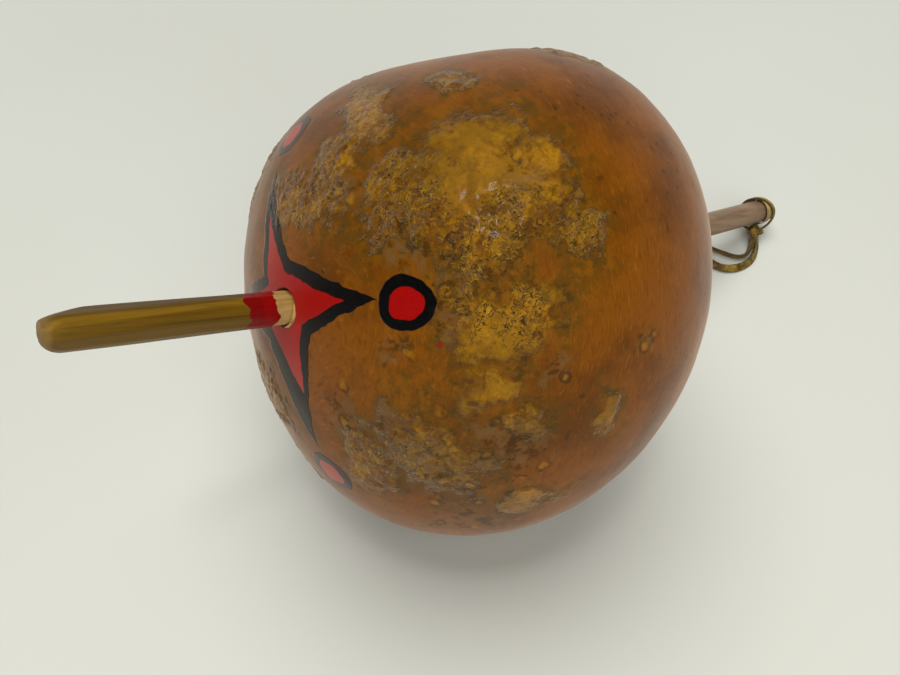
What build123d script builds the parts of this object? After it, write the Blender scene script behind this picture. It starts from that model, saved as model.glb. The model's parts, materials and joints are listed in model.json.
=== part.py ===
from build123d import *

import math
import os

# A gourd rattle: a dried, varnished calabash on a stick that runs right through it.
# It lies on its side on a table. Its short painted peg points up towards -X and its
# longer handle slopes down towards +X, with a leather lace tied round the end.
# Millimetres, +Z up. The origin is the centre of the small flat that the gourd rests on.

# The gourd: a shell that is round about the peg's axis.
GOURD_RADIUS = 75.0
GOURD_HALF_LENGTH = 68.3
WALL = 4.0
OUTLINE_STEPS = 12
REST_DEPTH = 1.0
PEG_HOLE_RADIUS = 5.5
HANDLE_HOLE_RADIUS = 5.2

# The stick: one round rod, slightly bent inside the gourd.
STICK_RADIUS = 4.9
PEG_TILT = 27.8
HANDLE_TILT = 20.9
HANDLE_YAW = 3.0
PEG_REACH = 128.3
HANDLE_REACH = 182.6
BEND_RADIUS = 300.0
TIP_ROUND = 3.2
END_CHAMFER = 0.5

# The neck whittled where the stick passes the painted hole.
NECK_START = 62.0
NECK_END = 72.0
NECK_RADIUS = 4.6
NECK_SIDES = 8

# Glue that holds the stick in its two holes.
GLUE_DEPTH = 2.5
GLUE_PROUD = 1.2
PEG_GLUE_ARC = 150.0

# The leather lace at the handle's end.
LACE_WIDTH = 3.6
BINDING_THICKNESS = 1.0
BINDING_SETBACK = 0.4
TURN_REACH = 177.5
TURN_RADIUS = 8.2
TURN_TILT = 28.0
TURN_TILT_FROM_TOP = 10.0
LACE_TUBE_RADIUS = 0.8
KNOT_FROM_TOP = 145.0
KNOT_RADIUS = 2.9
KNOT_REACH = 8.7

# The hanging loop, a limp lace that lies on the table from the knot and back to it.
LOOP_TUBE_RADIUS = 1.2
LOOP_ROUTE = [
    (163.60, 1.70, 3.75),
    (160.60, -0.40, 3.00),
    (156.80, -2.70, 1.60),
    (152.60, -3.60, 1.25),
    (149.20, -1.90, 1.25),
    (147.00, 1.90, 1.25),
    (144.60, 7.00, 1.25),
    (143.00, 14.50, 1.25),
    (140.20, 24.50, 1.25),
    (134.20, 36.00, 1.25),
    (128.00, 45.60, 1.25),
    (121.00, 50.60, 1.25),
    (113.60, 48.60, 1.25),
    (111.00, 41.00, 1.25),
    (116.00, 31.00, 1.25),
    (125.50, 21.80, 1.25),
    (134.00, 13.00, 1.25),
    (138.10, 6.00, 1.25),
    (138.30, 0.00, 1.25),
    (141.40, -4.80, 1.25),
    (147.60, -7.20, 1.25),
    (154.20, -6.80, 1.25),
    (159.80, -3.80, 1.40),
    (163.20, -0.90, 1.45),
    (164.75, 0.95, 1.70),
]
ARC_SHARE = 0.45

# The seeds, one loose layer in the lowest part of the gourd.
SEED_RADIUS = 2.7
SEED_PITCH = 6.2
SEED_CLEARANCE = 0.4
SEED_RINGS = 2

peg_tilt = math.radians(PEG_TILT)
handle_tilt = math.radians(HANDLE_TILT)
handle_yaw = math.radians(HANDLE_YAW)
peg_direction = Vector(-math.cos(peg_tilt), 0, math.sin(peg_tilt))
handle_direction = Vector(
    math.cos(handle_tilt) * math.cos(handle_yaw),
    math.cos(handle_tilt) * math.sin(handle_yaw),
    -math.sin(handle_tilt),
)
handle_side = Vector(math.sin(handle_yaw), -math.cos(handle_yaw), 0)
handle_top = handle_side.cross(handle_direction)

# The gourd's centre stands over the table by the tilted shell's own half height.
half_height = math.hypot(
    GOURD_RADIUS * math.cos(peg_tilt), GOURD_HALF_LENGTH * math.sin(peg_tilt)
)
rest_offset = (
    (GOURD_RADIUS**2 - GOURD_HALF_LENGTH**2)
    * math.sin(peg_tilt)
    * math.cos(peg_tilt)
    / half_height
)
centre = Vector(rest_offset, 0, half_height - REST_DEPTH)

peg_tip = centre + peg_direction * PEG_REACH
handle_end = centre + handle_direction * HANDLE_REACH
peg_plane = Plane(origin=centre, x_dir=(0, 1, 0), z_dir=peg_direction)
handle_plane = Plane(origin=centre, x_dir=handle_side, z_dir=handle_direction)
profile_plane = Plane(origin=centre, x_dir=peg_direction, z_dir=(0, -1, 0))


def oval(half_length, radius):
    """Half of the gourd's outline, from its peg end round to its handle end."""
    angles = [math.pi * step / OUTLINE_STEPS for step in range(OUTLINE_STEPS + 1)]
    points = [(half_length * math.cos(a), radius * math.sin(a)) for a in angles]
    return Spline(*points, tangents=((0, 1), (0, -1)))


def around_handle(reach, radius, from_top):
    """The point at that reach along the handle and that angle round it, from its top."""
    angle = math.radians(from_top)
    outwards = handle_top * math.cos(angle) + handle_side * math.sin(angle)
    return centre + handle_direction * reach + outwards * radius


def corner_radii(route):
    """For each inner point of a route, the largest arc that its two runs leave room for."""
    radii = []
    for before, here, after in zip(route, route[1:], route[2:]):
        run_in = Vector(*here) - Vector(*before)
        run_out = Vector(*after) - Vector(*here)
        half_turn = math.radians(run_in.get_angle(run_out)) / 2
        shorter = min(run_in.length, run_out.length)
        radii.append(ARC_SHARE * shorter / math.tan(half_turn))
    return radii


def bowl_height(x, y):
    """The height at which a seed's centre lies over (x, y), just clear of the inner wall."""
    inset = WALL + SEED_CLEARANCE + SEED_RADIUS
    radius = GOURD_RADIUS - inset
    half_length = GOURD_HALF_LENGTH - inset
    flat_x = x - centre.X
    stretch = 1 / half_length**2 - 1 / radius**2
    along = flat_x * peg_direction.X
    rise = peg_direction.Z
    square = 1 / radius**2 + stretch * rise**2
    linear = 2 * stretch * along * rise
    constant = (flat_x**2 + y**2) / radius**2 + stretch * along**2 - 1
    root = math.sqrt(linear**2 - 4 * square * constant)
    return centre.Z - (linear + root) / (2 * square)


def seed_spots():
    """The seeds' places on a triangular grid: the middle one and the rings round it."""
    spots = []
    for row in range(-SEED_RINGS, SEED_RINGS + 1):
        row_count = 2 * SEED_RINGS + 1 - abs(row)
        for column in range(row_count):
            x = (column - (row_count - 1) / 2) * SEED_PITCH
            y = row * SEED_PITCH * math.sin(math.radians(60))
            spots.append((x, y))
    return spots


def save(piece, label):
    """Labels a finished piece and writes it."""
    piece.part.label = label
    export_step(piece.part, f"parts/{label}.step")


os.makedirs("parts", exist_ok=True)

# The dried calabash, hollow, with its two stick holes and the flat that it rests on.
with BuildPart() as gourd_shell:
    with BuildSketch(profile_plane):
        with BuildLine():
            oval(GOURD_HALF_LENGTH, GOURD_RADIUS)
            Line((-GOURD_HALF_LENGTH, 0), (WALL - GOURD_HALF_LENGTH, 0))
            oval(GOURD_HALF_LENGTH - WALL, GOURD_RADIUS - WALL)
            Line((GOURD_HALF_LENGTH - WALL, 0), (GOURD_HALF_LENGTH, 0))
        make_face()
    revolve(axis=Axis(centre, peg_direction))
    with BuildSketch(peg_plane):
        Circle(PEG_HOLE_RADIUS)
    extrude(amount=GOURD_RADIUS, mode=Mode.SUBTRACT)
    with BuildSketch(handle_plane):
        Circle(HANDLE_HOLE_RADIUS)
    extrude(amount=GOURD_RADIUS + WALL, mode=Mode.SUBTRACT)
    with BuildSketch(Plane.XY):
        Circle(GOURD_RADIUS)
    extrude(amount=-2 * REST_DEPTH, mode=Mode.SUBTRACT)

# The stick: round peg, whittled eight-sided neck, gentle bend and handle.
with BuildPart() as handle_stick:
    with BuildLine():
        FilletPolyline(peg_tip, centre, handle_end, radius=BEND_RADIUS)
    with BuildSketch(Plane(origin=peg_tip, z_dir=-peg_direction)):
        Circle(STICK_RADIUS)
    sweep()
    tip_edge = edges().filter_by(GeomType.CIRCLE).sort_by_distance(peg_tip)[0]
    fillet(tip_edge, TIP_ROUND)
    end_edge = edges().filter_by(GeomType.CIRCLE).sort_by_distance(handle_end)[0]
    chamfer(end_edge, END_CHAMFER)
    with BuildSketch(peg_plane.offset(NECK_START)):
        Circle(2 * STICK_RADIUS)
        RegularPolygon(NECK_RADIUS, NECK_SIDES, mode=Mode.SUBTRACT)
    extrude(amount=NECK_END - NECK_START, mode=Mode.SUBTRACT)

# A bead of glue on one side of the neck, in the gap to the hole.
with BuildPart() as peg_glue:
    with BuildSketch(profile_plane):
        with Locations((GOURD_HALF_LENGTH - GLUE_DEPTH, NECK_RADIUS)):
            Rectangle(
                GLUE_DEPTH + GLUE_PROUD / 2,
                PEG_HOLE_RADIUS - NECK_RADIUS,
                align=(Align.MIN, Align.MIN),
            )
    revolve(axis=Axis(centre, peg_direction), revolution_arc=PEG_GLUE_ARC)

# A ring of glue in the gap between the handle and its hole.
handle_hole_reach = 1 / math.hypot(
    math.cos(math.radians(handle_direction.get_angle(-peg_direction))) / GOURD_HALF_LENGTH,
    math.sin(math.radians(handle_direction.get_angle(-peg_direction))) / GOURD_RADIUS,
)
with BuildPart() as handle_glue:
    with BuildSketch(handle_plane.offset(handle_hole_reach - GLUE_DEPTH)):
        Circle(HANDLE_HOLE_RADIUS)
        Circle(STICK_RADIUS, mode=Mode.SUBTRACT)
    extrude(amount=GLUE_DEPTH + GLUE_PROUD)

# The tight lace winding at the very end of the handle.
with BuildPart() as lace_binding:
    with BuildSketch(
        handle_plane.offset(HANDLE_REACH - END_CHAMFER - BINDING_SETBACK - LACE_WIDTH)
    ):
        Circle(STICK_RADIUS + BINDING_THICKNESS)
        Circle(STICK_RADIUS, mode=Mode.SUBTRACT)
    extrude(amount=LACE_WIDTH)

# The loose turn of lace round the winding, hanging askew.
tilt_from_top = math.radians(TURN_TILT_FROM_TOP)
lean = handle_top * math.cos(tilt_from_top) + handle_side * math.sin(tilt_from_top)
turn_tilt = math.radians(TURN_TILT)
turn_axis = handle_direction * math.cos(turn_tilt) - lean * math.sin(turn_tilt)
turn_plane = Plane(origin=around_handle(TURN_REACH, 0, 0), z_dir=turn_axis)
with BuildPart() as loose_turn:
    with Locations(turn_plane.location):
        Torus(TURN_RADIUS, LACE_TUBE_RADIUS)

# The knot that ties the turn, bored for the lace that passes through it.
knot_angle = math.radians(KNOT_FROM_TOP)
knot_ray = handle_top * math.cos(knot_angle) + handle_side * math.sin(knot_angle)
knot_ray = (knot_ray - turn_axis * knot_ray.dot(turn_axis)).normalized()
knot_centre = turn_plane.origin + knot_ray * KNOT_REACH
with BuildPart() as knot:
    with Locations(knot_centre):
        Sphere(KNOT_RADIUS)
    add(loose_turn.part, mode=Mode.SUBTRACT)

# The hanging loop: a plain tube along the lace's route.
loop_radii = corner_radii(LOOP_ROUTE)
with BuildPart() as hanging_loop:
    with BuildLine() as loop_line:
        FilletPolyline(*LOOP_ROUTE, radius=loop_radii)
    with BuildSketch(loop_line.line ^ 0):
        Circle(LOOP_TUBE_RADIUS)
    sweep()

save(gourd_shell, "gourd_shell")
save(handle_stick, "handle_stick")
save(peg_glue, "peg_glue")
save(handle_glue, "handle_glue")
save(lace_binding, "lace_binding")
save(loose_turn, "loose_turn")
save(knot, "knot")
save(hanging_loop, "hanging_loop")

# The dry round seeds that make the sound.
for number, (x, y) in enumerate(seed_spots(), start=1):
    with BuildPart() as seed:
        with Locations((x, y, bowl_height(x, y))):
            Sphere(SEED_RADIUS)
    save(seed, f"seed_{number:02d}")

loop_length = loop_line.wires()[0].length
loop_section = math.pi * LOOP_TUBE_RADIUS**2
print("gourd centre", centre, "knot centre", knot_centre)
print("loop radii", [round(radius, 1) for radius in loop_radii])
print("loop length", round(loop_length, 1))
print("loop volume share", round(hanging_loop.part.volume / (loop_section * loop_length), 4))
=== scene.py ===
"""A gourd rattle on a stick: varnished calabash, painted star, whittled peg and leather lace."""

import json
from math import asin, copysign, cos, degrees, pi, radians, sin, sqrt, tau

import bmesh
import bpy
from bpy.props import FloatProperty, FloatVectorProperty, IntProperty, PointerProperty
from mathutils import Euler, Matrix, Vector, noise


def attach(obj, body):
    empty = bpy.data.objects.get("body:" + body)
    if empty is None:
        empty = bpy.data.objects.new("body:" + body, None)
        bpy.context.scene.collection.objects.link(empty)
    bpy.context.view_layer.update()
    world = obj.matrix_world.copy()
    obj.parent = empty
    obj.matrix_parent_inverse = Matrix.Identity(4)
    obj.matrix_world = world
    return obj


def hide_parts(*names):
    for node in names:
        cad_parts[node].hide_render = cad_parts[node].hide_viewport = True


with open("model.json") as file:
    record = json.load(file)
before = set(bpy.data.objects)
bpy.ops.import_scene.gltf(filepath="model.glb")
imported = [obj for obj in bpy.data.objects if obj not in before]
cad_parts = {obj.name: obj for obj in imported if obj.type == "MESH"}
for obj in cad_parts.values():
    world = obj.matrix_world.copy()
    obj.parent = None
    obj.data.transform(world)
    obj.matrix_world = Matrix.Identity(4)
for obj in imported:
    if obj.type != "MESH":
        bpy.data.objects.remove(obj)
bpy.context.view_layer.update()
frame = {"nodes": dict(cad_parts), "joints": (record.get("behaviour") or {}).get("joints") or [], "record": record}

bl_info = {
    "name": "Gourd rattle",
    "version": (1, 0, 0),
    "blender": (4, 5, 0),
    "location": "View3D > Sidebar > Rattle",
    "description": "Builds a painted gourd rattle piece by piece",
    "category": "Add Mesh",
}

MM = 0.001

# The gourd's outline and holes, and the stick, as the frame's pieces have them.
GOURD_RADIUS = 75.0 * MM
GOURD_HALF_LENGTH = 68.3 * MM
PEG_HOLE_RADIUS = 5.5 * MM
HANDLE_HOLE_RADIUS = 5.2 * MM
STICK_RADIUS = 4.9 * MM
STRAP_SIDES = 14
# Reaches are measured along the stick, out of the gourd's centre.
PEG_MOUNT_REACH = 100.0 * MM
PEG_REACH = 129.4 * MM
HANDLE_REACH = 182.6 * MM
BINDING_REACH = 178.5 * MM
# Reaches of the peg's stain, its red band and the band's second coat.
STAIN_START = 73.0 * MM
BAND_START = 72.2 * MM
SECOND_COAT_START = 76.3 * MM
BAND_END = 80.6 * MM
# The glue at the holes: how far round the stick's axis and how thick a bead is.
BEAD_ARC_RADIUS = 5.1 * MM
BEAD_RADIUS = 0.65 * MM
# The skin is plain near a hole and full beyond, between these degrees from its middle.
PEG_HOLE_FADE = (9, 24)
HANDLE_HOLE_FADE = (7, 20)
# The camera: where it stands from the gourd's centre, and its tilt and turn in degrees.
EYE_PLACE = Vector((-104.5, -142.5, 204.8)) * MM
EYE_TILT = 37.5
EYE_TURN = -34.3


def named(rows, name):
    """The row with that name, from one of the record's lists."""
    return next(row for row in rows if row["name"] == name)


def unit(vector):
    """That vector at length one."""
    return Vector(vector).normalized()


peg_mount = named(frame["record"]["mounts"], "peg")
swivel = named(frame["joints"], "tie_swivel")
swing = named(frame["joints"], "loop_swing")
peg_way = unit(peg_mount["axis"])
centre = Vector(peg_mount["pos_m"]) - peg_way * PEG_MOUNT_REACH
handle_way = unit(swivel["axis"])
knot_centre = Vector(swing["pos_m"])

# Directions square to the peg: the first points to the gourd's near side, the second up.
near_side = Vector((0, -1, 0))
up_side = peg_way.cross(near_side)
handle_side = unit((handle_way.y, -handle_way.x, 0))
handle_top = handle_side.cross(handle_way)

# Soft lobes that take the gourd away from a true round: where (degrees from the peg's
# pole and degrees round it from the near side), how wide (degrees) and how high.
LOBES = [
    (106, 80, 34, 3.8 * MM),
    (80, 124, 24, -5.2 * MM),
    (62, -56, 34, 2.9 * MM),
    (106, 2, 32, -1.8 * MM),
    (36, -118, 24, -1.3 * MM),
    (48, 160, 22, 1.2 * MM),
    (110, 170, 40, 1.5 * MM),
    (95, -120, 40, -1.2 * MM),
]

# Patches on the skin, by kind: degrees from the pole, degrees round it, half length, half
# width and lean of the length from the way down, all in degrees.
PATCHES = {
    # Raised ochre crust.
    "crust": [
        (36.8, 77, 9, 9, 10), (46, 66, 12, 9, 60), (54, 74, 13, 9, 40), (60.7, 61, 8, 9, 0),
        (51.3, 54, 9, 7, 20), (46.7, 112, 13, 6, 60), (24.1, 117, 6, 15, 0), (33, 108, 8, 7, 0),
        (62.6, 99, 4, 6, 0), (69.2, 50.6, 5, 5, 0), (66, 68, 5, 7, 0), (44, 38, 6, 5, 30),
        (51.5, 33.6, 12, 8, 30), (58, 36, 7, 6, 10), (49.6, 17, 7, 6, 0), (60, 12, 4, 4, 0),
        (76.3, 13.1, 3, 6, 35), (70, -11.5, 5, 5, 20), (77.8, -7.2, 4, 3, 40),
        (45.8, -9, 8, 14, 70), (38, -30, 6, 10, 40), (30, -95, 9, 12, 20), (58, -80, 12, 9, 50),
        (50, 178, 10, 14, 10), (74, 150, 8, 9, 0), (98, 100, 7, 9, 60), (112, -60, 9, 7, 20),
        (86, -120, 11, 9, 10),
    ],
    # Bloom and dark stains.
    "stain": [
        (35.5, 60, 8, 12, 20), (63.5, 24.3, 4, 4, 0), (82.5, 28.9, 3, 4, 30),
        (60, 62, 10, 6, 30), (44, 42, 12, 5, 70), (47, -12, 9, 20, 80), (58, 4, 6, 12, 70),
        (31, 22, 5, 6, 0), (27, -22, 6, 9, 0), (30, 100, 7, 9, 0), (64, -28, 9, 12, 0),
        (60, -110, 12, 9, 30), (90, 140, 9, 12, 30),
    ],
    # Smooth golden crust.
    "gold": [
        (54, 74, 11, 9, 40), (62, 66, 8, 7, 0), (46.7, 112, 12, 5, 60), (50, 30, 9, 6, 40),
        (76.3, 13.1, 5, 7, 35), (70, -11.5, 6, 5, 20), (77.8, -7.2, 5, 4, 40),
        (52, 14, 6, 5, 0), (58, -80, 9, 7, 50),
    ],
    # Crust that has dried into a net of cracks.
    "crackle": [
        (36.8, 77, 12, 12, 10), (52, 55, 11, 9, 20), (46.7, 112, 14, 8, 60),
        (26, 115, 9, 16, 0), (62.6, 99, 6, 8, 0), (69.2, 50.6, 8, 8, 0), (52, 36, 9, 7, 0),
        (40, -25, 10, 14, 0), (50, 178, 12, 16, 10), (98, 100, 9, 11, 60),
        (86, -120, 13, 11, 10),
    ],
}

# The painted star and its dots, point by point: degrees from the peg's pole and degrees
# round it. The radii are in degrees too.
STAR_TIPS = [(27.3, 42.7), (35.0, 149.5), (28.5, -146.0), (33.4, -54.0)]
STAR_CORNERS = [(11.0, 116.6), (11.2, -178.0), (11.2, -100.0), (10.4, 5.0)]
RED_TIPS = [(19.2, 43.4), (23.0, 150.5), (18.5, -145.0), (19.8, -46.5)]
RED_CORNERS = [(8.1, 125.0), (8.0, -178.0), (7.8, -100.0), (7.0, 9.4)]
DOTS = [(33.4, 40.0), (43.6, 146.2), (40.0, -145.0), (41.4, -55.0)]
DOT_RADIUS = 5.8
DOT_RED_RADIUS = 3.5
# One small drip of red beside the star.
DRIP = (40.1, 27.0)
DRIP_RADIUS = 0.45

# The lace's way from the knot, round on the table and back to the knot, in millimetres.
LOOP_ROUTE = [
    (163.60, 1.70, 3.75), (160.60, -0.40, 3.00), (156.80, -2.70, 1.80), (152.60, -3.60, 1.70),
    (149.20, -1.90, 1.70), (147.00, 1.90, 1.70), (144.60, 7.00, 1.60), (143.00, 14.50, 1.40),
    (140.20, 24.50, 1.25), (134.20, 36.00, 1.25), (128.00, 45.60, 1.25), (121.00, 50.60, 1.25),
    (113.60, 48.60, 1.25), (111.00, 41.00, 1.25), (116.00, 31.00, 1.25), (125.50, 21.80, 1.25),
    (134.00, 13.00, 1.25), (138.10, 6.00, 1.25), (138.30, 0.00, 1.25), (141.40, -4.80, 1.25),
    (147.60, -7.20, 1.25), (154.20, -6.80, 1.25), (159.80, -3.80, 1.60), (163.00, -0.80, 2.50),
    (164.75, 1.60, 4.00),
]
# How far the flat lace leans from lying flat, in degrees, spread evenly along its way.
LOOP_LEANS = [58, 68, 66, 60, 52, 35, 15, 0, 0, 0, 5, 16, 50, 58, 54]

# The loose turn round the handle: degrees round it from its top, then reach and radius in
# millimetres.
TURN_ROUTE = [
    (0, 176.4, 6.8), (30, 178.4, 6.9), (60, 179.5, 6.9), (90, 178.8, 7.2), (118, 176.4, 8.0),
    (145, 174.0, 8.4), (185, 172.4, 7.2), (235, 172.0, 6.3), (290, 172.6, 6.1),
    (330, 174.2, 6.4),
]


def on_gourd(from_pole, around):
    """The direction out of the gourd's centre at those angles from and round the peg."""
    polar = radians(from_pole)
    turn = radians(around)
    across = near_side * cos(turn) + up_side * sin(turn)
    return peg_way * cos(polar) + across * sin(polar)


def round_handle(from_top, reach, radius):
    """The point at that angle round the handle, that far along it and from its axis."""
    turn = radians(from_top)
    out = handle_top * cos(turn) + handle_side * sin(turn)
    return centre + handle_way * reach + out * radius


def smoothstep(low, high, value):
    """Nought below low, one above high and smooth between."""
    share = min(1.0, max(0.0, (value - low) / (high - low)))
    return share * share * (3 - 2 * share)


def ahead(operation):
    """An operator of a socket that stands before the other value."""
    return lambda self, other: self.math(operation, self, other)


def behind(operation):
    """An operator of a socket that stands after the other value."""
    return lambda self, other: self.math(operation, other, self)


class Socket:
    """An output socket whose arithmetic adds nodes to its tree."""

    def __init__(self, graph, output):
        self.graph = graph
        self.output = output

    def out(self, name):
        """Another output of the same node."""
        return Socket(self.graph, self.output.node.outputs[name])

    def math(self, operation, *values):
        return self.graph.node("ShaderNodeMath", {"operation": operation}, *values)

    def of(self, operation):
        """A function of this value alone, such as its sine."""
        return self.math(operation, self)

    __add__ = __radd__ = ahead("ADD")
    __mul__ = __rmul__ = ahead("MULTIPLY")
    __sub__, __rsub__ = ahead("SUBTRACT"), behind("SUBTRACT")
    __truediv__, __rtruediv__ = ahead("DIVIDE"), behind("DIVIDE")
    __gt__, __lt__ = ahead("GREATER_THAN"), ahead("LESS_THAN")
    high, low, power = ahead("MAXIMUM"), ahead("MINIMUM"), ahead("POWER")

    def __abs__(self):
        return self.of("ABSOLUTE")

    def ease(self, low, high):
        """Nought below low, one above high and smooth between."""
        settings = {"interpolation_type": "SMOOTHSTEP"}
        return self.graph.node("ShaderNodeMapRange", settings, self, low, high)

    def vector(self, operation, *values, out="Vector"):
        settings = {"operation": operation}
        return self.graph.node("ShaderNodeVectorMath", settings, self, *values, out=out)

    def dot(self, other):
        return self.vector("DOT_PRODUCT", other, out="Value")


class Graph:
    """A node tree and the one method that adds any node to it."""

    def __init__(self, tree):
        self.tree = tree
        tree.nodes.clear()

    def node(self, kind, settings=None, *values, out=0, **sockets):
        """Adds a node: its settings first, then its sockets by place and by name."""
        made = self.tree.nodes.new(kind)
        for name, value in (settings or {}).items():
            setattr(made, name, value)
        wanted = list(enumerate(values))
        wanted += [(name.replace("_", " "), value) for name, value in sockets.items()]
        for key, value in wanted:
            if isinstance(value, Socket):
                self.tree.links.new(value.output, made.inputs[key])
            elif value is not None:
                made.inputs[key].default_value = value
        return Socket(self, made.outputs[out]) if len(made.outputs) else made

    def noise(self, place, scale, detail=4.0, roughness=0.55, warp=0.0, out="Fac"):
        """Noise about one half."""
        sockets = {"Vector": place, "Scale": scale, "Detail": detail, "Roughness": roughness}
        return self.node("ShaderNodeTexNoise", None, out=out, Distortion=warp, **sockets)

    def mix(self, share, first, second):
        """A colour between two colours."""
        values = [share, None, None, None, None, None, first, second]
        return self.node("ShaderNodeMix", {"data_type": "RGBA"}, *values, out=2)

    def layered(self, shown, *layers):
        """A colour under layers, each given as its share and its colour."""
        for share, colour in layers:
            shown = self.mix(share, shown, colour)
        return shown

    def cells(self, place, scale):
        """How far a place lies from the middle of the nearest cell."""
        return self.node("ShaderNodeTexVoronoi", None, Vector=place, Scale=scale)

    def stored(self, name):
        """A number that the mesh holds at each point."""
        return self.node("ShaderNodeAttribute", {"attribute_name": name}, out="Fac")

    def join(self, x, y, z):
        return self.node("ShaderNodeCombineXYZ", None, x, y, z)

    def push(self, place, scale):
        """A noisy push, of up to a half either way along each axis."""
        return self.noise(place, scale, 2.0, out="Color").vector("SUBTRACT", (0.5,) * 3)

    def warped(self, place, scale, amount):
        """That place, pushed about by noise, so that outlines wander."""
        return self.push(place, scale).vector("MULTIPLY_ADD", (amount,) * 3, place)


def patch_field(graph, way, patches):
    """How deep in a patch a direction lies: one in its middle and nought at its edge."""
    field = None
    for from_pole, around, half_length, half_width, lean in patches:
        middle = on_gourd(from_pole, around)
        down = on_gourd(from_pole + 90, around)
        level = middle.cross(down)
        turn = radians(lean)
        along = (down * cos(turn) + level * sin(turn)) / radians(half_length)
        across = (level * cos(turn) - down * sin(turn)) / radians(half_width)
        offset = way.vector("SUBTRACT", middle)
        depth = middle / radians(half_width)
        local = graph.join(offset.dot(along), offset.dot(across), offset.dot(depth))
        strength = 1.0 - local.vector("LENGTH", out="Value")
        field = strength if field is None else field.high(strength)
    return field


def add_input(tree, name, kind, default=None):
    """A named input on a node group."""
    socket = tree.interface.new_socket(name=name, in_out="INPUT", socket_type=kind)
    if default is not None:
        socket.default_value = default


def set_input(modifier, name, value):
    """Sets a modifier's input by the identifier of the socket with that name."""
    items = modifier.node_group.interface.items_tree
    socket = next(i for i in items if i.name == name and i.in_out == "INPUT")
    modifier[socket.identifier] = value


def placed(name, data):
    """A new object of the scene that holds a mesh, a light or a camera."""
    made = bpy.data.objects.new(name, data)
    bpy.context.scene.collection.objects.link(made)
    return made


def formed(name, form):
    """A new mesh object with that form."""
    mesh = bpy.data.meshes.new(name)
    form.to_mesh(mesh)
    form.free()
    return placed(name, mesh)


def grown(name, tree, inputs):
    """A plain mesh object with the shape that a node group makes with those inputs."""
    carrier = placed(name + "_carrier", bpy.data.meshes.new(name + "_seed"))
    modifier = carrier.modifiers.new("shape", "NODES")
    modifier.node_group = tree
    for key, value in inputs.items():
        set_input(modifier, key, value)
    depsgraph = bpy.context.evaluated_depsgraph_get()
    mesh = bpy.data.meshes.new_from_object(
        carrier.evaluated_get(depsgraph), preserve_all_data_layers=True, depsgraph=depsgraph
    )
    carrier.modifiers.clear()
    bpy.data.objects.remove(carrier)
    bpy.data.node_groups.remove(tree)
    mesh.name = name
    return placed(name, mesh)


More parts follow.
